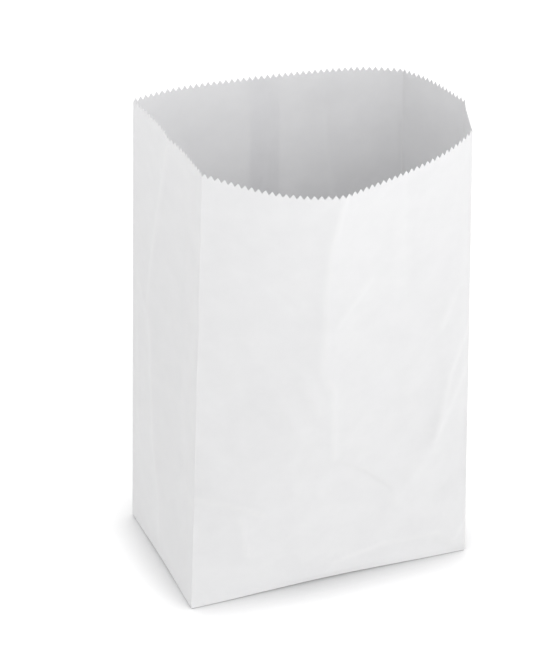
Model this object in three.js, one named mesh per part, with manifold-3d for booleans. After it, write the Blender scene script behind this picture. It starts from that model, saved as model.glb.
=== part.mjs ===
// A white paper bag with a flat folded bottom and a pinked mouth, standing opened out.
// One plain sheet is lapped and glued into a tube down the back and creased into a front, a back and two gussets.
// Its lower end is folded under and glued: the two side flaps inside, then the back flap, then the front flap.
// Glue makes one piece of it all, so the bag is one solid.
// Millimetres, +Z up. The origin is the middle of the base, on the surface the bag stands on.
import * as THREE from "three";
import { mergeVertices } from "three/addons/utils/BufferGeometryUtils.js";
import Module from "manifold-3d";

const wasm = await Module();
wasm.setup();

// Size of the bag and of its paper
const WIDTH = 120;
const DEPTH = 70;
const HEIGHT = 200;
const PAPER = 0.12;

// Pinked cut at the mouth and on the bottom flaps
const TOOTH_PITCH = 2.6;
const TOOTH_DEPTH = 1.9;

// How far each corner of the open mouth has moved from above its corner of the base, [x, y]
const MOUTH_SHIFT = {
  frontLeft: [3, 4],
  frontRight: [-7, 1],
  backRight: [-13.5, -16],
  backLeft: [-2, -4],
};

// How far each side bows out at the mouth. The bow grows with the height raised to BOW_RISE.
const FRONT_BOW = 24;
const RIGHT_BOW = 7.5;
const BACK_BOW = 6.8;
const LEFT_BOW = -1.9;
const BOW_RISE = 0.8;

// The front bows most at this share of its width. Past it so much of its fall is straight and the rest curves by
// this power. Its rim drops by FRONT_DIP as it leans out.
const FRONT_RIDGE = 0.42;
const FRONT_STRAIGHT = 0.6;
const FRONT_CURVE = 4;
const FRONT_DIP = 4;

// The right gusset bows most at its crease, which is here at the mouth, and falls past it by this power
const RIGHT_GUSSET_CREASE = 0.4;
const RIGHT_CURVE = 1.5;

// The back stays out over its middle and falls to its corners by this power
const BACK_CURVE = 3.5;

// Fold at the foot: its radius at the corners, and how much rounder the long and short edges are at their middle
const FOLD_RADIUS = 0.6;
const LONG_EDGE_ROUND = 2.2;
const SHORT_EDGE_ROUND = 1.2;

// The bottom flaps reach past the middle by half of their lap
const BOTTOM_LAP = 20;

// Lap of the sheet's two edges down the back: where it is across the back, its width, how far up it begins to
// show, and how much lower the teeth of its outer layer stand
const SEAM_AT = 0.5;
const SEAM_WIDTH = 13;
const SEAM_START = 4;
const SEAM_DROP = 0.15;

// Creases: side, points of a line from foot to mouth or from left to right as shares of the side's width and
// height, height of the ridge, and how wide its flanks are to the left and right of the line
const CREASES = [
  ["left", [[0.5, 0], [0.5, 0.13], [0.38, 0.27], [0.31, 0.5], [0.272, 0.6], [0.4, 0.84], [0.515, 1]], 1.8, 9, 9],
  ["right", [[0.5, 0], [0.47, 0.3], [0.44, 0.6], [0.4, 1]], 1.8, 9, 9],
  ["front", [[0.468, 0.348], [0.452, 0.519], [0.408, 0.578], [0.407, 0.775], [0.462, 1]], 1, 6, 16],
  ["front", [[0, 0.265], [0.088, 0.26], [0.165, 0.247], [0.23, 0.229]], 1.1, 11, 6],
  ["front", [[0.185, 0.125], [0.168, 0.184], [0.155, 0.23]], 0.9, 6, 10],
  ["front", [[0.86, 0.334], [0.913, 0.469], [1, 0.559]], 0.9, 6, 5],
  ["front", [[0.913, 0.266], [1, 0.288]], -1, 5, 8],
  ["front", [[0.498, 0.058], [0.655, 0.08], [0.88, 0.072], [0.983, 0.014]], 1.1, 22, 6],
  ["front", [[0.378, 0.092], [0.34, 0.26], [0.305, 0.434]], -0.6, 6, 8],
  ["back", [[0.02, 0.24], [0.14, 0.225], [0.26, 0.19]], 0.9, 9, 6],
  ["back", [[0.3, 0.55], [0.25, 0.7], [0.27, 0.9]], 0.7, 6, 10],
  ["back", [[0.74, 0.16], [0.86, 0.21], [1, 0.27]], 0.8, 6, 8],
];

// Creases fade in over this height above the foot
const FOOT_FADE = 16;

// Fineness of the surface
const TEETH_PER_COLUMN = 2;
const ROWS = 24;
const FOLD_STEPS = 3;
const FLAP_STEPS = 12;
const ARC_STEPS = 240;
const WELD = 1e-4;

// The four sides in order round the bag, each starting at the corner of the same number
const SIDES = ["front", "right", "back", "left"];
const SIDE_LENGTH = { front: WIDTH, right: DEPTH, back: WIDTH, left: DEPTH };
const EDGE_ROUND = {
  front: LONG_EDGE_ROUND,
  right: SHORT_EDGE_ROUND,
  back: LONG_EDGE_ROUND,
  left: SHORT_EDGE_ROUND,
};
const CORNERS = [
  { x: -WIDTH / 2, y: -DEPTH / 2, shift: MOUTH_SHIFT.frontLeft },
  { x: WIDTH / 2, y: -DEPTH / 2, shift: MOUTH_SHIFT.frontRight },
  { x: WIDTH / 2, y: DEPTH / 2, shift: MOUTH_SHIFT.backRight },
  { x: -WIDTH / 2, y: DEPTH / 2, shift: MOUTH_SHIFT.backLeft },
];

// Outline of each side at the mouth, from 0 at its corners to 1 where it bows most
const BOW = { front: FRONT_BOW, right: RIGHT_BOW, back: BACK_BOW, left: LEFT_BOW };
const BOW_SHAPE = {
  front(share) {
    if (share < FRONT_RIDGE) return Math.sin(((Math.PI / 2) * share) / FRONT_RIDGE);
    const past = (share - FRONT_RIDGE) / (1 - FRONT_RIDGE);
    return FRONT_STRAIGHT * (1 - past) + (1 - FRONT_STRAIGHT) * (1 - past ** FRONT_CURVE);
  },
  right(share) {
    if (share < RIGHT_GUSSET_CREASE) return share / RIGHT_GUSSET_CREASE;
    const past = (share - RIGHT_GUSSET_CREASE) / (1 - RIGHT_GUSSET_CREASE);
    return Math.cos((Math.PI / 2) * past ** RIGHT_CURVE);
  },
  back: (share) => 1 - Math.abs(2 * share - 1) ** BACK_CURVE,
  left: (share) => Math.sin(Math.PI * share),
};

const lerp = (a, b, share) => a + (b - a) * share;

// A corner of the bag's section at a share of its height
function corner(number, height) {
  const { x, y, shift } = CORNERS[number % CORNERS.length];
  return new THREE.Vector2(x + shift[0] * height, y + shift[1] * height);
}

// Lengths along each side's bowed outline at the mouth, from its first corner
const MOUTH_LENGTHS = SIDES.map((side, number) => {
  const chord = corner(number, 1).distanceTo(corner(number + 1, 1));
  const lengths = [0];
  for (let i = 1; i <= ARC_STEPS; i++) {
    const rise = BOW[side] * (BOW_SHAPE[side](i / ARC_STEPS) - BOW_SHAPE[side]((i - 1) / ARC_STEPS));
    lengths.push(lengths[i - 1] + Math.hypot(chord / ARC_STEPS, rise));
  }
  return lengths;
});

// Share of the straight line between a side's corners at which a share of the paper's width lies.
// Teeth and creases are even along the paper, which is longer than that line where the side bows.
function chordShare(number, width, height) {
  const lengths = MOUTH_LENGTHS[number];
  const wanted = width * lengths.at(-1);
  const next = Math.max(1, lengths.findIndex((length) => length >= wanted));
  const inside = (wanted - lengths[next - 1]) / (lengths[next] - lengths[next - 1]);
  return lerp(width, (next - 1 + inside) / ARC_STEPS, height);
}

// Lift of the paper beside one crease, measured on the flat sheet
function lineLift(side, place, points, ridge, leftFlank, rightFlank) {
  const ends = points.map(([width, height]) => new THREE.Vector2(width * SIDE_LENGTH[side], height * HEIGHT));
  let nearest = Infinity;
  let flank = leftFlank;
  for (let i = 0; i + 1 < ends.length; i++) {
    const line = ends[i + 1].clone().sub(ends[i]);
    const from = place.clone().sub(ends[i]);
    const away = from.addScaledVector(line, -THREE.MathUtils.clamp(from.dot(line) / line.lengthSq(), 0, 1));
    if (away.length() < nearest) {
      nearest = away.length();
      flank = line.cross(away) > 0 ? leftFlank : rightFlank;
    }
  }
  return ridge * Math.exp(-nearest / flank);
}

// How far creases lift the paper out of its smooth form. They fade out at the upright folds and at the foot.
function creaseLift(side, width, height) {
  const place = new THREE.Vector2(width * SIDE_LENGTH[side], height * HEIGHT);
  const fade = Math.sqrt(Math.sin(Math.PI * width)) * Math.min(1, place.y / FOOT_FADE);
  const here = CREASES.filter(([where]) => where === side);
  return fade * here.reduce((sum, [, ...crease]) => sum + lineLift(side, place, ...crease), 0);
}

// A point of the bag at shares of a side's paper width and of the bag's height, so far out from its outer face
function outerPoint(number, width, height, proud = 0) {
  const side = SIDES[number];
  const start = corner(number, height);
  const chord = corner(number + 1, height).sub(start);
  const outward = new THREE.Vector2(chord.y, -chord.x).normalize();
  const share = chordShare(number, width, height);
  const shape = BOW_SHAPE[side](share);
  const out = BOW[side] * shape * height ** BOW_RISE + creaseLift(side, width, height) + proud;
  const at = start.addScaledVector(chord, share).addScaledVector(outward, out);
  const top = side === "front" ? HEIGHT - FRONT_DIP * shape : HEIGHT;
  return [at.x, at.y, top * height];
}

// Places round the bag, one for every so many teeth. Each side has a whole number of columns.
const teethOn = (side) => TEETH_PER_COLUMN * Math.round(SIDE_LENGTH[side] / TOOTH_PITCH / TEETH_PER_COLUMN);
function placesRound(teeth) {
  return SIDES.flatMap((side, number) => {
    const count = teethOn(side) / teeth;
    return Array.from({ length: count }, (_, i) => ({ number, width: i / count }));
  });
}
const COLUMNS = placesRound(TEETH_PER_COLUMN);
const VALLEYS = placesRound(1);
const TIPS = VALLEYS.map(({ number, width }) => ({ number, width: width + 0.5 / teethOn(SIDES[number]) }));
const VALLEY_HEIGHT = 1 - TOOTH_DEPTH / HEIGHT;

// A closed ring moved inwards, with mitred corners, by a distance that may differ from point to point
const LONGEST_MITRE = 3;
function inset(ring, distanceAt) {
  return ring.map(([x, y, z], i) => {
    const before = ring[(i + ring.length - 1) % ring.length];
    const after = ring[(i + 1) % ring.length];
    const arriving = new THREE.Vector2(x - before[0], y - before[1]).normalize();
    const leaving = new THREE.Vector2(after[0] - x, after[1] - y).normalize();
    const inward = new THREE.Vector2(-arriving.y - leaving.y, arriving.x + leaving.x).normalize();
    const facing = inward.dot(new THREE.Vector2(-arriving.y, arriving.x));
    inward.multiplyScalar(distanceAt(i) * Math.min(LONGEST_MITRE, 1 / facing));
    return [x + inward.x, y + inward.y, z];
  });
}

// Layers of the bottom from the surface up: front flap, back flap, floor of the tube, side flaps
const BACK_FLAP_BOTTOM = PAPER;
const FLOOR_BOTTOM = 2 * PAPER;
const FLOOR_TOP = 3 * PAPER;

// Radius of the fold at the foot, at a share of a side's width
const foldRadius = (side, width) => FOLD_RADIUS + EDGE_ROUND[side] * Math.sin(Math.PI * width) ** 2;

// Rings of one face of the tube, so deep in the paper, from the fold at the foot up to below the teeth
const TIGHTEST_BEND = 0.1;
function faceRings(depth) {
  const foot = COLUMNS.map(({ number, width }) => outerPoint(number, width, 0));
  const bends = COLUMNS.map(({ number, width }) => foldRadius(SIDES[number], width) - depth);
  const bend = (i) => Math.max(TIGHTEST_BEND, bends[i]);
  const rings = [];
  for (let j = 0; j <= FOLD_STEPS; j++) {
    const angle = (Math.PI / 2) * (1 - j / FOLD_STEPS);
    const ring = inset(foot, (i) => depth + bend(i) * (1 - Math.cos(angle)));
    rings.push(ring.map(([x, y], i) => [x, y, FLOOR_BOTTOM + depth + bend(i) * (1 - Math.sin(angle))]));
  }
  for (let j = 1; j < ROWS; j++) {
    const ring = COLUMNS.map(({ number, width }) => outerPoint(number, width, (VALLEY_HEIGHT * j) / ROWS));
    rings.push(inset(ring, () => depth));
  }
  return rings;
}

// A closed geometry as a solid that can be joined to others
function solidOf(geometry) {
  const loose = geometry.index ? geometry.toNonIndexed() : geometry;
  const bare = new THREE.BufferGeometry().setAttribute("position", loose.getAttribute("position"));
  const welded = mergeVertices(bare, WELD);
  return new wasm.Manifold(
    new wasm.Mesh({
      numProp: 3,
      vertProperties: welded.attributes.position.array,
      triVerts: new Uint32Array(welded.index.array),
    }),
  );
}

// Triangles gathered one by one and welded into a solid
class Skin {
  points = [];

  triangle(a, b, c) {
    this.points.push(...a, ...b, ...c);
  }

  quad(a, b, c, d) {
    this.triangle(a, b, c);
    this.triangle(a, c, d);
  }

  solid() {
    const position = new THREE.Float32BufferAttribute(this.points, 3);
    return solidOf(new THREE.BufferGeometry().setAttribute("position", position));
  }
}

// Both faces of the walls, ring by ring
function addWalls(skin, outer, inner) {
  for (let j = 0; j + 1 < outer.length; j++) {
    for (let i = 0; i < COLUMNS.length; i++) {
      const next = (i + 1) % COLUMNS.length;
      skin.quad(outer[j][i], outer[j][next], outer[j + 1][next], outer[j + 1][i]);
      skin.quad(inner[j][next], inner[j][i], inner[j + 1][i], inner[j + 1][next]);
    }
  }
}

// The band from the last rings of the walls to the valleys between the teeth
function addBand(skin, outer, inner, outerValleys, innerValleys) {
  for (let i = 0; i < COLUMNS.length; i++) {
    const next = (i + 1) % COLUMNS.length;
    const first = i * TEETH_PER_COLUMN;
    const last = (first + TEETH_PER_COLUMN) % VALLEYS.length;
    skin.triangle(outer[i], outer[next], outerValleys[last]);
    skin.triangle(inner[next], inner[i], innerValleys[last]);
    for (let j = 0; j < TEETH_PER_COLUMN; j++) {
      const here = first + j;
      const after = (here + 1) % VALLEYS.length;
      skin.triangle(outer[i], outerValleys[after], outerValleys[here]);
      skin.triangle(inner[i], innerValleys[here], innerValleys[after]);
    }
  }
}

// The teeth of the mouth and the cut edge of the paper
function addTeeth(skin, outerValleys, innerValleys) {
  const outerTips = TIPS.map(({ number, width }) => outerPoint(number, width, 1));
  const innerTips = inset(outerTips, () => PAPER);
  for (let i = 0; i < VALLEYS.length; i++) {
    const next = (i + 1) % VALLEYS.length;
    skin.triangle(outerValleys[i], outerValleys[next], outerTips[i]);
    skin.triangle(innerValleys[next], innerValleys[i], innerTips[i]);
    skin.quad(outerValleys[i], outerTips[i], innerTips[i], innerValleys[i]);
    skin.quad(outerTips[i], outerValleys[next], innerValleys[next], innerTips[i]);
  }
}

// The flat floor inside the fold at the foot
function addFloor(skin, outer, inner) {
  for (const [ring, faceDown] of [[outer, true], [inner, false]]) {
    const contour = ring.map(([x, y]) => new THREE.Vector2(x, y));
    for (const [a, b, c] of THREE.ShapeUtils.triangulateShape(contour, [])) {
      if (faceDown) skin.triangle(ring[c], ring[b], ring[a]);
      else skin.triangle(ring[a], ring[b], ring[c]);
    }
  }
}

// The tube with its floor
function tube() {
  const skin = new Skin();
  const [outer, inner] = [faceRings(0), faceRings(PAPER)];
  const outerValleys = VALLEYS.map(({ number, width }) => outerPoint(number, width, VALLEY_HEIGHT));
  const innerValleys = inset(outerValleys, () => PAPER);
  addFloor(skin, outer[0], inner[0]);
  addWalls(skin, outer, inner);
  addBand(skin, outer.at(-1), inner.at(-1), outerValleys, innerValleys);
  addTeeth(skin, outerValleys, innerValleys);
  return skin.solid();
}

// A flap of the bottom, lying inwards from an edge along y = 0. Its near edge follows the fold at the foot, each
// end draws in by slant for every millimetre away from there, and its far edge is pinked.
function flap(side, width, reach, slant, bottom, top) {
  const half = width / 2 - FOLD_RADIUS;
  const farHalf = half - slant * (reach - FOLD_RADIUS);
  const teeth = Math.max(2, Math.round((2 * farHalf) / TOOTH_PITCH));
  const outline = [];
  for (let i = 0; i <= FLAP_STEPS; i++) {
    outline.push(new THREE.Vector2(half * ((2 * i) / FLAP_STEPS - 1), foldRadius(side, i / FLAP_STEPS)));
  }
  for (let i = 0; i <= 2 * teeth; i++) {
    outline.push(new THREE.Vector2(farHalf * (1 - i / teeth), i % 2 ? reach : reach - TOOTH_DEPTH));
  }
  const plate = { depth: top - bottom, bevelEnabled: false };
  return new THREE.ExtrudeGeometry(new THREE.Shape(outline), plate).translate(0, 0, bottom);
}

// The four flaps of the bottom, each sunk half the paper's thickness into the layer that it is glued to
function bottomFlaps() {
  const sunk = PAPER / 2;
  const reach = (DEPTH + BOTTOM_LAP) / 2;
  const sideWidth = DEPTH - 2 * LONG_EDGE_ROUND;
  const front = flap("front", WIDTH, reach, 1, 0, FLOOR_BOTTOM + sunk).translate(0, -DEPTH / 2, 0);
  const back = flap("back", WIDTH, reach, 1, BACK_FLAP_BOTTOM, FLOOR_BOTTOM + sunk)
    .translate(0, -DEPTH / 2, 0)
    .rotateZ(Math.PI);
  const sides = ["right", "left"].map((side, i) =>
    flap(side, sideWidth, reach, 0, FLOOR_TOP - sunk, FLOOR_TOP + PAPER)
      .translate(0, -WIDTH / 2, 0)
      .rotateZ(i ? -Math.PI / 2 : Math.PI / 2),
  );
  return [front, back, ...sides].map(solidOf);
}

// The outer layer of the lap down the back, with teeth of its own over those of the inner layer
function backSeam() {
  const back = SIDES.indexOf("back");
  const teeth = Math.round(SEAM_WIDTH / TOOTH_PITCH);
  const firstTooth = Math.round(SEAM_AT * teethOn("back") - teeth / 2);
  const last = 2 * teeth;
  const heightAt = (i, j) => {
    if (j < ROWS) return Math.max(SEAM_START / HEIGHT, (VALLEY_HEIGHT * j) / ROWS);
    return (i % 2 ? 1 : VALLEY_HEIGHT) - SEAM_DROP / HEIGHT;
  };
  const face = (proud) =>
    Array.from({ length: ROWS + 1 }, (_, j) =>
      Array.from({ length: last + 1 }, (_, i) =>
        outerPoint(back, (firstTooth + i / 2) / teethOn("back"), heightAt(i, j), proud),
      ),
    );
  const [outer, inner] = [face(PAPER), face(-PAPER / 2)];
  const skin = new Skin();
  for (let j = 0; j < ROWS; j++) {
    for (let i = 0; i < last; i++) {
      skin.quad(outer[j][i], outer[j][i + 1], outer[j + 1][i + 1], outer[j + 1][i]);
      skin.quad(inner[j][i + 1], inner[j][i], inner[j + 1][i], inner[j + 1][i + 1]);
    }
    skin.quad(inner[j][0], outer[j][0], outer[j + 1][0], inner[j + 1][0]);
    skin.quad(outer[j][last], inner[j][last], inner[j + 1][last], outer[j + 1][last]);
  }
  for (let i = 0; i < last; i++) {
    skin.quad(inner[0][i], inner[0][i + 1], outer[0][i + 1], outer[0][i]);
    skin.quad(outer[ROWS][i], outer[ROWS][i + 1], inner[ROWS][i + 1], inner[ROWS][i]);
  }
  return skin.solid();
}

// A solid as a three.js geometry
function geometryOf(solid) {
  const { vertProperties, triVerts } = solid.getMesh();
  const geometry = new THREE.BufferGeometry();
  geometry.setAttribute("position", new THREE.BufferAttribute(vertProperties, 3));
  geometry.setIndex(new THREE.BufferAttribute(triVerts, 1));
  geometry.computeVertexNormals();
  return geometry;
}

const whitePaper = new THREE.MeshStandardMaterial({ color: 0xf1f1f3, roughness: 0.85, metalness: 0 });
const paper = [backSeam(), ...bottomFlaps()].reduce((joined, piece) => joined.add(piece), tube());
const paperBag = new THREE.Mesh(geometryOf(paper), whitePaper);
paperBag.name = "paper_bag";

const bag = new THREE.Group();
bag.add(paperBag);

export default bag;
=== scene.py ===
"""A white paper bag with a folded flat bottom and a pinked mouth, standing open on a white floor."""

import math

import bpy
import numpy as np
from mathutils import Matrix, Vector, noise


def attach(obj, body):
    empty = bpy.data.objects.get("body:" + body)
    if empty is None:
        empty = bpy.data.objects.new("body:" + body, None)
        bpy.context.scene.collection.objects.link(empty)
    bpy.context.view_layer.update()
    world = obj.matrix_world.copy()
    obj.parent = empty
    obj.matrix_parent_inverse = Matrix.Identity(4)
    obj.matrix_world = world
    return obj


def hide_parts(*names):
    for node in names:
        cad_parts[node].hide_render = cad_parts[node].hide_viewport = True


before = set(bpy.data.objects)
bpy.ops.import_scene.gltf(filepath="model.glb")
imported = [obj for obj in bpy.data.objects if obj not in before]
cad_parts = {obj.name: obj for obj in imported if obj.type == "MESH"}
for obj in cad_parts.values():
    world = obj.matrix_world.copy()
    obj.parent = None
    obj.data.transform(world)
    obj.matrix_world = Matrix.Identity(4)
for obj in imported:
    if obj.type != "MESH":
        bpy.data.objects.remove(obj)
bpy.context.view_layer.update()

MM = 0.001
NODE = "paper_bag"

# The bag's base and height, in millimetres, measured on the frame. The base is all that lies this near the surface.
BASE_LAYER = 1.0
solid_points = np.array([v.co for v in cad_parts[NODE].data.vertices]) / MM
base_points = solid_points[solid_points[:, 2] < BASE_LAYER]
WIDTH, DEPTH = np.ptp(base_points[:, :2], axis=0)
HEIGHT = solid_points[:, 2].max()
PAPER = 0.12

# Pinked cut at the mouth and on the bottom flaps
TOOTH_PITCH = 2.6
TOOTH_DEPTH = 1.9
VALLEY = 1 - TOOTH_DEPTH / HEIGHT

# The four sides in order round the bag, each starting at the corner of the same number
FRONT, RIGHT, BACK, LEFT = range(4)
SIDE_LENGTH = np.array([WIDTH, DEPTH, WIDTH, DEPTH])
BASE_CORNERS = np.array([[-1, -1], [1, -1], [1, 1], [-1, 1]]) * [WIDTH / 2, DEPTH / 2]

# How far each corner of the open mouth has moved from above its corner of the base
MOUTH_SHIFT = np.array([[3.0, 4.0], [-7.0, 1.0], [-13.5, -16.0], [-2.0, -4.0]])

# How far each side bows out at the mouth. The bow grows with the height raised to BOW_RISE.
BOW = np.array([24.0, 7.5, 6.8, -1.9])
BOW_RISE = 0.8

# The front bows most at this share of its width. Past it so much of its fall is straight and the rest curves by
# this power. Its rim drops by FRONT_DIP as it leans out.
FRONT_RIDGE = 0.42
FRONT_STRAIGHT = 0.6
FRONT_CURVE = 4
FRONT_DIP = 4.0

# The right gusset bows most at its crease, which is here at the mouth, and falls past it by this power
RIGHT_GUSSET_CREASE = 0.4
RIGHT_CURVE = 1.5

# The back stays out over its middle and falls to its corners by this power
BACK_CURVE = 3.5

# Crease down the middle of each gusset, and how wide its flanks are
GUSSET_RIDGE = 1.8
GUSSET_FLANK = 9.0
LEFT_GUSSET = [
    (0.50, 0.0), (0.50, 0.13), (0.38, 0.27), (0.31, 0.50), (0.272, 0.58), (0.282, 0.64), (0.40, 0.84), (0.515, 1.0),
]
RIGHT_GUSSET = [(0.50, 0.0), (0.47, 0.3), (0.44, 0.6), (0.40, 1.0)]

# The paper beside each upright fold sinks by this much, most of it this far away, and the fold itself is eased
# by this share towards the paper on both sides of it
PINCH = 0.22
PINCH_WIDTH = 2.4
FOLD_EASE = 0.5

# Fold at the foot: its radius at the corners, and how much rounder the long and short edges are at their middle
FOLD_RADIUS = 0.6
FRONT_EDGE_ROUND = 2.2
SIDE_EDGE_ROUND = 1.2

# Bottom flaps, and the layers of the bottom from the surface up: front flap, back flap, floor of the tube and
# side flaps
BOTTOM_LAP = 20.0
FLAP_REACH = (DEPTH + BOTTOM_LAP) / 2
FLOOR_BOTTOM = 2 * PAPER
FLOOR_TOP = 3 * PAPER

# Lap down the back: where it is across the back, its width, and how far its outer layer stands out
SEAM_AT = 0.5
SEAM_WIDTH = 13.0
SEAM_STEP = 0.08

# Creases pressed in by handling. Each is a side, the points of a line from left to right or from foot to mouth
# as shares of width and height, the height of its ridge, and how wide its flanks are to the left and right of it.
CREASES = [
    (FRONT, [(0.468, 0.348), (0.458, 0.454), (0.452, 0.519), (0.408, 0.578), (0.412, 0.651), (0.407, 0.775),
             (0.42, 0.888), (0.462, 1.0)], 1.0, 5, 16),
    (FRONT, [(0.403, 0.471), (0.340, 0.552)], 0.6, 4, 8),
    (FRONT, [(0.350, 0.405), (0.260, 0.510)], 0.4, 3, 5),
    (FRONT, [(0.0, 0.265), (0.088, 0.260), (0.165, 0.247), (0.230, 0.229)], 1.3, 14, 7),
    (FRONT, [(0.185, 0.125), (0.168, 0.184), (0.155, 0.230)], 0.9, 9, 5),
    (FRONT, [(0.028, 0.705), (0.090, 0.655), (0.172, 0.651)], 0.5, 5, 6),
    (FRONT, [(0.012, 0.544), (0.113, 0.469)], -0.5, 6, 5),
    (FRONT, [(0.237, 0.775), (0.330, 0.714)], -0.5, 5, 5),
    (FRONT, [(0.455, 0.689), (0.573, 0.774)], 0.7, 7, 4),
    (FRONT, [(0.725, 0.691), (0.710, 0.810), (0.700, 0.950)], -0.5, 6, 8),
    (FRONT, [(0.860, 0.586), (0.910, 0.645)], 0.7, 4, 3),
    (FRONT, [(0.860, 0.334), (0.913, 0.469), (1.0, 0.559)], 0.9, 5, 3),
    (FRONT, [(0.850, 0.318), (0.918, 0.394), (1.0, 0.469)], 0.7, 3, 4),
    (FRONT, [(0.913, 0.266), (1.0, 0.288)], -0.6, 7, 10),
    (FRONT, [(0.873, 0.160), (0.923, 0.185), (1.0, 0.203)], -0.6, 6, 9),
    (FRONT, [(0.952, 0.039), (1.0, 0.081)], 0.7, 4, 3),
    (FRONT, [(0.498, 0.058), (0.655, 0.080), (0.880, 0.072), (0.983, 0.014)], 1.1, 22, 6),
    (FRONT, [(0.537, 0.316), (0.597, 0.284), (0.697, 0.220), (0.718, 0.176)], 0.6, 9, 4),
    (FRONT, [(0.760, 0.226), (0.850, 0.297)], 0.5, 4, 4),
    (FRONT, [(0.015, 0.405), (0.118, 0.344)], -0.4, 5, 5),
    (FRONT, [(0.378, 0.092), (0.340, 0.260), (0.305, 0.434)], 0.5, 9, 11),
    (LEFT, [(0.0, 0.675), (0.132, 0.613), (0.245, 0.568)], 0.5, 4, 4),
    (LEFT, [(0.153, 0.223), (0.105, 0.552)], 0.4, 4, 4),
    (LEFT, [(0.780, 0.150), (0.700, 0.480), (0.740, 0.800)], -0.5, 7, 7),
    (BACK, [(0.020, 0.240), (0.140, 0.225), (0.260, 0.190)], 0.9, 9, 5),
    (BACK, [(0.300, 0.550), (0.250, 0.700), (0.270, 0.900)], 0.7, 5, 10),
    (BACK, [(0.740, 0.160), (0.860, 0.210), (1.0, 0.270)], 0.8, 5, 8),
    (BACK, [(0.680, 0.420), (0.760, 0.560), (0.790, 0.760)], -0.6, 6, 6),
    (BACK, [(0.050, 0.060), (0.300, 0.080), (0.560, 0.050)], 0.8, 18, 6),
    (RIGHT, [(0.060, 0.300), (0.240, 0.260), (0.430, 0.210)], 0.7, 8, 5),
    (RIGHT, [(0.620, 0.450), (0.760, 0.520), (1.0, 0.560)], 0.6, 5, 6),
]

# How much higher than listed these creases are, how round every crest is, and the distances from an upright
# fold and from the foot over which creases fade in
CREASE_STRENGTH = 2.0
CREST_ROUND = 0.9
FOLD_FADE = 5.0
FOOT_FADE = 16.0

# A crest gets a paler line of this width where it is higher than this: partly paper whitened by creasing, partly a
# painted highlight where the crest catches the light
PALE_WIDTH = 1.3
PALE_FROM = 0.9

# Cockle of the paper: size across in millimetres and height of each layer of it, and the places in the noise
# from which the first and each further layer is drawn
COCKLE = [(34.0, 0.45), (13.0, 0.12), (6.0, 0.035)]
COCKLE_START = 1.9
COCKLE_STEP = 7.3

# Fineness of the surface
FOLD_STEPS = 8
FLAP_STEPS = 48
ARC_POINTS = 241
ROWS = 128
RIM_ROWS = 6
RIM_BAND = 7.0
FOOT_ROW = 4.0
FOLD_HALF = 0.35
STEP_HALF = 0.06
TIGHTEST_BEND = 0.1
SHARPEST_MITRE = 0.3
SHARP_ANGLE = 55
TINY = 1e-9


def teeth_on(side):
    """Number of teeth along a side."""
    return 2 * round(SIDE_LENGTH[side] / TOOTH_PITCH / 2)


def columns():
    """Side and share of its width of each column, with extra ones at the folds and at the seam's edges."""
    sides, shares = [], []
    for side in range(4):
        t = list(np.arange(2 * teeth_on(side)) / (2 * teeth_on(side)))
        fold = FOLD_HALF / SIDE_LENGTH[side]
        t += [fold, 1 - fold]
        if side == BACK:
            for edge in (-1, 1):
                middle = SEAM_AT + edge * SEAM_WIDTH / 2 / WIDTH
                t += [middle - STEP_HALF / WIDTH, middle + STEP_HALF / WIDTH]
        t = sorted(t)
        sides += [side] * len(t)
        shares += t
    return np.array(sides), np.array(shares)


def corner(number, v):
    """A corner of the section at height share v."""
    return BASE_CORNERS[number % 4] + MOUTH_SHIFT[number % 4] * v[..., None]


def bow_shape(side, t):
    """Outline of each side at the mouth, from 0 at its corners to 1 where it bows most."""
    front_far = np.clip((t - FRONT_RIDGE) / (1 - FRONT_RIDGE), 0, 1)
    front_fall = FRONT_STRAIGHT * (1 - front_far) + (1 - FRONT_STRAIGHT) * (1 - front_far**FRONT_CURVE)
    front = np.where(t < FRONT_RIDGE, np.sin(np.pi / 2 * t / FRONT_RIDGE), front_fall)
    right_far = np.clip((t - RIGHT_GUSSET_CREASE) / (1 - RIGHT_GUSSET_CREASE), 0, 1)
    right_fall = np.cos(np.pi / 2 * right_far**RIGHT_CURVE)
    right = np.where(t < RIGHT_GUSSET_CREASE, t / RIGHT_GUSSET_CREASE, right_fall)
    back = 1 - np.abs(2 * t - 1) ** BACK_CURVE
    left = np.sin(np.pi * t)
    return np.choose(side, [front, right, back, left])


def chord_share(side, t, v):
    """Share of the straight line between two corners at which a share of the sheet's width lies.
    The teeth and creases are even along the paper, which is longer than that line where a side bows."""
    mouth = BASE_CORNERS + MOUTH_SHIFT
    samples = np.linspace(0, 1, ARC_POINTS)
    share = np.zeros_like(t)
    for number in range(4):
        chord = np.linalg.norm(mouth[(number + 1) % 4] - mouth[number])
        bowed = BOW[number] * bow_shape(np.full(samples.shape, number), samples)
        length = np.concatenate([[0], np.cumsum(np.hypot(np.diff(samples * chord), np.diff(bowed)))])
        share = np.where(side == number, np.interp(t, length / length[-1], samples), share)
    return t + (share - t) * v


def line_lift(side_here, t, v, points, height, flank_left, flank_right):
    """Lift of the paper beside one crease, a line through points on a side, and how far it is from each place."""
    scale = np.array([SIDE_LENGTH[side_here], HEIGHT])
    x, z = t * scale[0], v * scale[1]
    nearest = np.full(v.shape, np.inf)
    lift = np.zeros_like(v)
    for start, end in zip(points[:-1], points[1:]):
        start, line = np.array(start) * scale, (np.array(end) - np.array(start)) * scale
        along = np.clip(((x - start[0]) * line[0] + (z - start[1]) * line[1]) / (line @ line), 0, 1)
        dx, dz = x - start[0] - along * line[0], z - start[1] - along * line[1]
        away = np.hypot(dx, dz)
        rounded = np.hypot(away, CREST_ROUND) - CREST_ROUND
        to_left = (line[0] * dz - line[1] * dx) / (np.hypot(*line) * np.maximum(away, TINY))
        flank = flank_right + (flank_left - flank_right) * (1 + to_left) / 2
        lift = np.where(away < nearest, height * np.exp(-rounded / flank), lift)
        nearest = np.minimum(away, nearest)
    return lift, nearest


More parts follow.
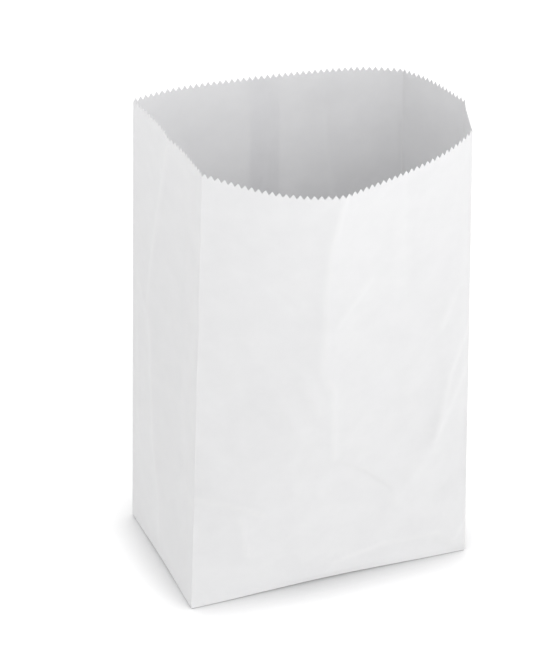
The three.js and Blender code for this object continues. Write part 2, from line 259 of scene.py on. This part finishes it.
def crease_lift(side, t, v):
    """How far creases lift the paper out of its smooth form, and how strongly a paler line shows along each high
    crest, partly paper whitened by creasing and partly a painted highlight.
    """
    lift, near = np.zeros_like(v), np.zeros_like(v)
    gussets = [(LEFT, LEFT_GUSSET, GUSSET_RIDGE, GUSSET_FLANK, GUSSET_FLANK)]
    gussets += [(RIGHT, RIGHT_GUSSET, GUSSET_RIDGE, GUSSET_FLANK, GUSSET_FLANK)]
    pressed = [(where, points, CREASE_STRENGTH * height, *flanks) for where, points, height, *flanks in CREASES]
    for where, *crease in pressed + gussets:
        here = side[0] == where
        rise, away = line_lift(where, t[:, here], v[:, here], *crease)
        lift[:, here] += rise
        # Strength of the paler line on this crest: partly whitened paper, partly a painted highlight
        whitening_and_highlight = np.clip(crease[1] / PALE_FROM - 1, 0, 1)
        near[:, here] = np.maximum(near[:, here], whitening_and_highlight * np.exp(-((away / PALE_WIDTH) ** 2)))
    return lift, near


def pinch(side, t):
    """How far the paper beside an upright fold sinks behind it."""
    away = np.minimum(t, 1 - t) * SIDE_LENGTH[side] / PINCH_WIDTH
    return PINCH * away * np.exp(1 - away)


def cockle(side, t, v):
    """Gentle unevenness of the whole sheet."""
    start = np.concatenate([[0], np.cumsum(SIDE_LENGTH)[:-1]])
    x, z = start[side] + t * SIDE_LENGTH[side], v * HEIGHT
    lift = np.zeros_like(v)
    for layer, (size, height) in enumerate(COCKLE):
        depth = COCKLE_STEP * layer + COCKLE_START
        places = zip((x + 0 * z).flat, z.flat)
        grid = [noise.noise(Vector((a / size, b / size, depth))) for a, b in places]
        lift += height * np.array(grid).reshape(v.shape)
    return lift


def sheet(side, t, v):
    """Outer face of the bag, in millimetres, and the paler line along the crests: partly paper whitened by
    creasing, partly a painted highlight.
    """
    start, end = np.zeros(v.shape + (2,)), np.zeros(v.shape + (2,))
    for number in range(4):
        here = side == number
        start[:, here] = corner(number, v[:, here])
        end[:, here] = corner(number + 1, v[:, here])
    along = end - start
    outward = np.stack([along[..., 1], -along[..., 0]], axis=-1)
    outward /= np.linalg.norm(along, axis=-1, keepdims=True)
    side, t = np.broadcast_to(side, v.shape), np.broadcast_to(t, v.shape)
    share = chord_share(side, t, v)
    shape = bow_shape(side, share)
    from_fold = 1 - np.exp(-np.minimum(t, 1 - t) * SIDE_LENGTH[side] / FOLD_FADE)
    near_foot = np.clip(v * HEIGHT / FOOT_FADE, 0, 1)
    lift, near_crease = crease_lift(side, t, v)
    lift = (lift + cockle(side, t, v)) * from_fold - pinch(side, t)
    out = BOW[side] * shape * v**BOW_RISE + lift * near_foot
    xy = start + along * share[..., None] + outward * out[..., None]
    z = v * np.where(side == FRONT, HEIGHT - FRONT_DIP * shape, HEIGHT)
    return np.concatenate([xy, z[..., None]], axis=-1), near_crease * near_foot


def inset(rings, distance):
    """Rings moved inwards by a distance, with mitred corners."""
    ahead = np.roll(rings, -1, axis=1)[..., :2] - rings[..., :2]
    behind = rings[..., :2] - np.roll(rings, 1, axis=1)[..., :2]
    ahead = ahead / np.linalg.norm(ahead, axis=-1, keepdims=True)
    behind = behind / np.linalg.norm(behind, axis=-1, keepdims=True)
    middle = ahead + behind
    normal = np.stack([-middle[..., 1], middle[..., 0]], axis=-1)
    normal /= np.linalg.norm(normal, axis=-1, keepdims=True)
    facing = np.stack([-behind[..., 1], behind[..., 0]], axis=-1)
    mitre = distance / np.maximum(SHARPEST_MITRE, (normal * facing).sum(axis=-1))
    moved = rings.copy()
    moved[..., :2] += normal * mitre[..., None]
    return moved


def fold_radius(side, t):
    """Radius of the fold at the foot of each column."""
    round_by = np.where((side == FRONT) | (side == BACK), FRONT_EDGE_ROUND, SIDE_EDGE_ROUND)
    return FOLD_RADIUS + round_by * np.sin(np.pi * t) ** 2


def wall():
    """Outer and inner rings of the tube, from the foot's fold up to the teeth, and where the paper is painted paler
    along the upright folds and the crests, partly whitened by folding and partly a painted highlight."""
    side, t = columns()
    tooth = 1 - np.abs(2 * ((t * np.choose(side, [teeth_on(s) for s in range(4)])) % 1) - 1)
    top = VALLEY + (1 - VALLEY) * tooth
    band = VALLEY - RIM_BAND / HEIGHT
    lower = np.linspace(FOOT_ROW / HEIGHT, band, ROWS - RIM_ROWS)[:, None] * np.ones(len(t))
    share = np.linspace(0, 1, RIM_ROWS + 1)[1:, None]
    v = np.concatenate([lower, band + (top - band) * share])
    rows, near_crease = sheet(side, t, v)
    foot, _ = sheet(side, t, np.zeros((1, len(t))))
    corners = np.flatnonzero(t == 0)

    faces = []
    for depth_in in (0.0, PAPER):
        bend = np.maximum(TIGHTEST_BEND, fold_radius(side, t) - depth_in)
        angles = np.pi / 2 * (1 - np.linspace(0, 1, FOLD_STEPS + 1))
        folded = [inset(foot, depth_in + bend * (1 - math.cos(a))) for a in angles]
        for ring, a in zip(folded, angles):
            ring[..., 2] = FLOOR_BOTTOM + depth_in + bend * (1 - math.sin(a))
        upper = inset(rows, depth_in) if depth_in else rows.copy()
        if not depth_in:
            lapped = (side == BACK) & (np.abs(t - SEAM_AT) < SEAM_WIDTH / 2 / WIDTH)
            upper[:, lapped] = inset(rows, -SEAM_STEP)[:, lapped]
        rings = np.concatenate(folded + [upper])
        beside = rings[:, (corners + 1) % len(t)] + rings[:, corners - 1]
        rings[:, corners] = (1 - FOLD_EASE) * rings[:, corners] + FOLD_EASE / 2 * beside
        faces.append(rings)
    fold = np.zeros(faces[0].shape[:2])
    fold[:, corners] = 1
    crease = np.concatenate([np.zeros((FOLD_STEPS + 1, len(t))), near_crease])
    return faces[0], faces[1], fold, crease


def flap_outline(width, reach, slant, edge_round):
    """Outline of a bottom flap: its fold follows the foot's fold and its far edge is pinked."""
    fold = FOLD_RADIUS + PAPER
    near = []
    for i in range(FLAP_STEPS + 1):
        t = i / FLAP_STEPS
        x = (2 * t - 1) * (width / 2 - fold)
        near.append((x, fold + edge_round * math.sin(math.pi * t) ** 2))
    far_half = width / 2 - fold - slant * (reach - fold)
    teeth = max(2, round(2 * far_half / TOOTH_PITCH))
    far = [(far_half * (1 - i / teeth), reach - (0 if i % 2 else TOOTH_DEPTH)) for i in range(2 * teeth + 1)]
    return np.array(near + far)


class Shell:
    """Vertices and faces of the bag, gathered in millimetres."""

    def __init__(self):
        self.points, self.faces, self.fold, self.crease = [], [], [], []

    def add(self, points, fold=0.0, crease=0.0):
        first = len(self.points)
        self.points += [tuple(p) for p in points]
        self.fold += [float(f) for f in np.broadcast_to(fold, len(points))]
        self.crease += [float(c) for c in np.broadcast_to(crease, len(points))]
        return first

    def plate(self, outline, low, high):
        """A flat plate of an outline."""
        n = len(outline)
        bottom = self.add([(x, y, low) for x, y in outline])
        top = self.add([(x, y, high) for x, y in outline])
        self.faces.append([bottom + i for i in reversed(range(n))])
        self.faces.append([top + i for i in range(n)])
        for i in range(n):
            j = (i + 1) % n
            self.faces.append([bottom + i, bottom + j, top + j, top + i])


def bag_shell():
    shell = Shell()
    outer, inner, fold, crease = wall()
    rows, n = fold.shape
    starts = []
    for rings, flip in ((outer, False), (inner, True)):
        first = shell.add(rings.reshape(-1, 3), fold.reshape(-1), crease.reshape(-1))
        starts.append(first)
        for j in range(rows - 1):
            for i in range(n):
                k = (i + 1) % n
                quad = [first + j * n + i, first + j * n + k, first + (j + 1) * n + k, first + (j + 1) * n + i]
                shell.faces.append(quad[::-1] if flip else quad)
        floor = [first + i for i in range(n)]
        shell.faces.append(floor if flip else floor[::-1])
    rim_out, rim_in = starts[0] + (rows - 1) * n, starts[1] + (rows - 1) * n
    for i in range(n):
        k = (i + 1) % n
        shell.faces.append([rim_out + i, rim_out + k, rim_in + k, rim_in + i])

    glued = PAPER / 2
    long_flap = flap_outline(WIDTH, FLAP_REACH, slant=1, edge_round=FRONT_EDGE_ROUND) - [0, DEPTH / 2]
    shell.plate(long_flap, 0, FLOOR_BOTTOM + glued)
    shell.plate(-long_flap, PAPER, FLOOR_BOTTOM + glued)
    side_width = DEPTH - 2 * FRONT_EDGE_ROUND
    side_flap = flap_outline(side_width, FLAP_REACH, slant=0, edge_round=SIDE_EDGE_ROUND) - [0, WIDTH / 2]
    for turn in (1, -1):
        turned = np.stack([-side_flap[:, 1], side_flap[:, 0]], axis=-1) * turn
        shell.plate(turned, FLOOR_TOP - glued, FLOOR_TOP + PAPER)
    return shell


def make_bag(material):
    shell = bag_shell()
    mesh = bpy.data.meshes.new("bag_paper")
    mesh.from_pydata([Vector(p) * MM for p in shell.points], [], shell.faces)
    # The fold and crease attributes mark where the paper is painted paler: partly whitened by folding, partly a
    # painted highlight
    mesh.attributes.new("fold", "FLOAT", "POINT").data.foreach_set("value", shell.fold)
    mesh.attributes.new("crease", "FLOAT", "POINT").data.foreach_set("value", shell.crease)
    mesh.shade_smooth()
    mesh.set_sharp_from_angle(angle=math.radians(SHARP_ANGLE))
    mesh.materials.append(material)
    bag = bpy.data.objects.new("bag_paper", mesh)
    bpy.context.collection.objects.link(bag)
    return bag


class Nodes:
    """Short calls for building a material's node tree."""

    def __init__(self, material):
        material.use_nodes = True
        self.tree = material.node_tree
        self.tree.nodes.clear()

    def add(self, kind, **values):
        node = self.tree.nodes.new(kind)
        for name, value in values.items():
            if hasattr(node, name):
                setattr(node, name, value)
            else:
                node.inputs[name.replace("_", " ")].default_value = value
        return node

    def link(self, source, output, target, socket):
        self.tree.links.new(source.outputs[output], target.inputs[socket])


# Look of the paper: its colour where its clouds are thin and thick, the paler colour along folds and crests,
# partly paper whitened by folding and partly a painted highlight, how much of that a crest shows, and how deep
# light goes into it, in metres
THIN_COLOUR = (0.865, 0.865, 0.875, 1)
THICK_COLOUR = (0.895, 0.895, 0.905, 1)
WHITENED_AND_HIGHLIGHT_COLOUR = (0.935, 0.935, 0.94, 1)
CREASE_PALE = 0.55
FOLD_NARROW = 1.5
LIGHT_DEPTH = 0.0002
ROUGHNESS = 0.8
SHEEN = 0.25
CLOUDS = {"Scale": 90.0, "Detail": 5.0, "Roughness": 0.6}
FIBRES = {"Scale": 1400.0, "Detail": 6.0, "Roughness": 0.7, "Distortion": 1.5}
CLOUD_RANGE = (0.3, 0.7)
CLOUD_RELIEF = {"Strength": 0.25, "Distance": 0.0006}
FIBRE_RELIEF = {"Strength": 0.12, "Distance": 0.0002}


def paper_material():
    """White machine-made paper: faint clouds, fine fibres, and paler lines along folds and crests, partly paper
    whitened by folding and partly a painted highlight.
    """
    material = bpy.data.materials.new("white_paper")
    nodes = Nodes(material)
    place = nodes.add("ShaderNodeTexCoord")
    clouds = nodes.add("ShaderNodeTexNoise", **CLOUDS)
    nodes.link(place, "Object", clouds, "Vector")
    fibres = nodes.add("ShaderNodeTexNoise", **FIBRES)
    nodes.link(place, "Object", fibres, "Vector")

    tint = nodes.add("ShaderNodeValToRGB")
    for stop, position, colour in zip(tint.color_ramp.elements, CLOUD_RANGE, (THIN_COLOUR, THICK_COLOUR)):
        stop.position = position
        stop.color = colour
    nodes.link(clouds, "Fac", tint, "Fac")

    # Paler lines along the upright folds and the crests: partly paper whitened by folding, partly a painted
    # highlight
    fold = nodes.add("ShaderNodeAttribute", attribute_name="fold")
    narrow = nodes.add("ShaderNodeMath", operation="POWER")
    narrow.inputs[1].default_value = FOLD_NARROW
    nodes.link(fold, "Fac", narrow, 0)
    crease = nodes.add("ShaderNodeAttribute", attribute_name="crease")
    whitening_and_highlight = nodes.add("ShaderNodeMath", operation="MULTIPLY_ADD", use_clamp=True)
    whitening_and_highlight.inputs[1].default_value = CREASE_PALE
    nodes.link(crease, "Fac", whitening_and_highlight, 0)
    nodes.link(narrow, 0, whitening_and_highlight, 2)
    pale = nodes.add("ShaderNodeMix", data_type="RGBA")
    nodes.tree.links.new(whitening_and_highlight.outputs[0], pale.inputs[0])
    nodes.tree.links.new(tint.outputs["Color"], pale.inputs[6])
    pale.inputs[7].default_value = WHITENED_AND_HIGHLIGHT_COLOUR

    relief = nodes.add("ShaderNodeBump", **FIBRE_RELIEF)
    nodes.link(fibres, "Fac", relief, "Height")
    mottle = nodes.add("ShaderNodeBump", **CLOUD_RELIEF)
    nodes.link(clouds, "Fac", mottle, "Height")
    nodes.link(relief, "Normal", mottle, "Normal")

    shader = nodes.add("ShaderNodeBsdfPrincipled", Roughness=ROUGHNESS)
    shader.inputs["Specular IOR Level"].default_value = SHEEN
    shader.inputs["Subsurface Weight"].default_value = 1.0
    shader.inputs["Subsurface Scale"].default_value = LIGHT_DEPTH
    shader.inputs["Subsurface Radius"].default_value = (1.0, 1.0, 1.0)
    nodes.tree.links.new(pale.outputs[2], shader.inputs["Base Color"])
    nodes.link(mottle, "Normal", shader, "Normal")
    output = nodes.add("ShaderNodeOutputMaterial")
    nodes.link(shader, "BSDF", output, "Surface")
    return material


# Floor, in metres: how bright it is to the camera and to the light, and how far from the bag and how much a painted
# shadow darkens it
FLOOR_SIZE = 8.0
FLOOR_SEEN = 1.34
FLOOR_LIT = 1.0
CONTACT_REACH = 0.019
CONTACT_SHADE = 0.62
CONTACT_SAMPLES = 16

# Light: strength of the sky, and each lamp's power and the azimuth and elevation from which it shines
SKY_LIGHT = 0.76
LIGHT_SIZE = 1.9
LIGHT_DISTANCE = 3.2
KEY_POWER = 15.4
KEY_FROM = (15, 36)
LOW_POWER = 7.0
LOW_FROM = (38, 9)
FILL_POWER = 2.0
FILL_FROM = (-118, 40)
BACK_POWER = 5.0
BACK_FROM = (165, 35)


def floor_material():
    """A white floor: as the camera sees it nearly white and keeping its shadows, with a painted shadow darkening it
    close to the bag, and pale to the light.
    """
    material = bpy.data.materials.new("white_floor")
    nodes = Nodes(material)
    path = nodes.add("ShaderNodeLightPath")
    seen = nodes.add("ShaderNodeMath", operation="MAXIMUM")
    nodes.link(path, "Is Camera Ray", seen, 0)
    nodes.link(path, "Is Glossy Ray", seen, 1)
    colour = nodes.add("ShaderNodeMix", data_type="RGBA")
    colour.inputs[6].default_value = (FLOOR_LIT, FLOOR_LIT, FLOOR_LIT, 1)
    # Painted shadow: the floor colour seen by the camera is darkened where the bag is near
    contact = nodes.add("ShaderNodeAmbientOcclusion", samples=CONTACT_SAMPLES, Distance=CONTACT_REACH)
    shade = nodes.add("ShaderNodeMath", operation="MULTIPLY_ADD")
    shade.inputs[1].default_value = FLOOR_SEEN * CONTACT_SHADE
    shade.inputs[2].default_value = FLOOR_SEEN * (1 - CONTACT_SHADE)
    nodes.link(contact, "AO", shade, 0)
    nodes.tree.links.new(shade.outputs[0], colour.inputs[7])
    nodes.link(seen, 0, colour, 0)
    shader = nodes.add("ShaderNodeBsdfDiffuse")
    nodes.tree.links.new(colour.outputs[2], shader.inputs["Color"])
    output = nodes.add("ShaderNodeOutputMaterial")
    nodes.link(shader, "BSDF", output, "Surface")
    return material


def make_floor():
    half = FLOOR_SIZE / 2
    mesh = bpy.data.meshes.new("floor")
    mesh.from_pydata([(-half, -half, 0), (half, -half, 0), (half, half, 0), (-half, half, 0)], [], [(0, 1, 2, 3)])
    mesh.materials.append(floor_material())
    floor = bpy.data.objects.new("floor", mesh)
    bpy.context.collection.objects.link(floor)


def make_world():
    """White all round to the camera, and an even soft light to everything else."""
    world = bpy.data.worlds.new("studio")
    bpy.context.scene.world = world
    nodes = Nodes(world)
    path = nodes.add("ShaderNodeLightPath")
    strength = nodes.add("ShaderNodeMix", data_type="FLOAT")
    strength.inputs[2].default_value = SKY_LIGHT
    strength.inputs[3].default_value = 1.0
    nodes.link(path, "Is Camera Ray", strength, 0)
    background = nodes.add("ShaderNodeBackground", Color=(1, 1, 1, 1))
    nodes.tree.links.new(strength.outputs[0], background.inputs["Strength"])
    output = nodes.add("ShaderNodeOutputWorld")
    nodes.link(background, "Background", output, "Surface")


def make_light(name, power, from_degrees):
    """A square lamp facing the bag from an azimuth, which grows from the front to the right, and an elevation."""
    azimuth, elevation = map(math.radians, from_degrees)
    light = bpy.data.lights.new(name, "AREA")
    light.energy = power
    light.size = LIGHT_SIZE
    lamp = bpy.data.objects.new(name, light)
    towards = Vector((
        math.sin(azimuth) * math.cos(elevation),
        -math.cos(azimuth) * math.cos(elevation),
        math.sin(elevation),
    ))
    lamp.location = Vector((0, 0, HEIGHT / 2 * MM)) + towards * LIGHT_DISTANCE
    lamp.rotation_mode = "QUATERNION"
    lamp.rotation_quaternion = towards.to_track_quat("Z", "Y")
    bpy.context.collection.objects.link(lamp)


# Camera, as fitted to the photograph
CAMERA_AZIMUTH = -0.38984
CAMERA_ELEVATION = 0.57149
CAMERA_ROLL = 0.02695
CAMERA_PLACE = (-0.522753, -1.237332, 0.961272)
FOCAL_PIXELS = 4000.0
PICTURE_HEIGHT = 665
SENSOR = 36.0
CLIP_END = 20


def make_camera():
    a, e = CAMERA_AZIMUTH, CAMERA_ELEVATION
    back = Vector((math.sin(a) * math.cos(e), -math.cos(a) * math.cos(e), math.sin(e)))
    right = Vector((math.cos(a), math.sin(a), 0))
    up = back.cross(right)
    turned_right = math.cos(CAMERA_ROLL) * right + math.sin(CAMERA_ROLL) * up
    turned_up = -math.sin(CAMERA_ROLL) * right + math.cos(CAMERA_ROLL) * up
    camera = bpy.data.objects.new("camera", bpy.data.cameras.new("camera"))
    axes = Matrix((turned_right, turned_up, back)).transposed().to_4x4()
    camera.matrix_world = Matrix.Translation(CAMERA_PLACE) @ axes
    camera.data.sensor_width = SENSOR
    camera.data.lens = FOCAL_PIXELS * SENSOR / PICTURE_HEIGHT
    camera.data.clip_end = CLIP_END
    bpy.context.collection.objects.link(camera)
    bpy.context.scene.camera = camera


bpy.context.scene.view_settings.view_transform = "Standard"
make_camera()
make_world()
make_light("key", KEY_POWER, KEY_FROM)
make_light("low", LOW_POWER, LOW_FROM)
make_light("fill", FILL_POWER, FILL_FROM)
make_light("back", BACK_POWER, BACK_FROM)
make_floor()

bag = make_bag(paper_material())
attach(bag, "root")
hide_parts(NODE)
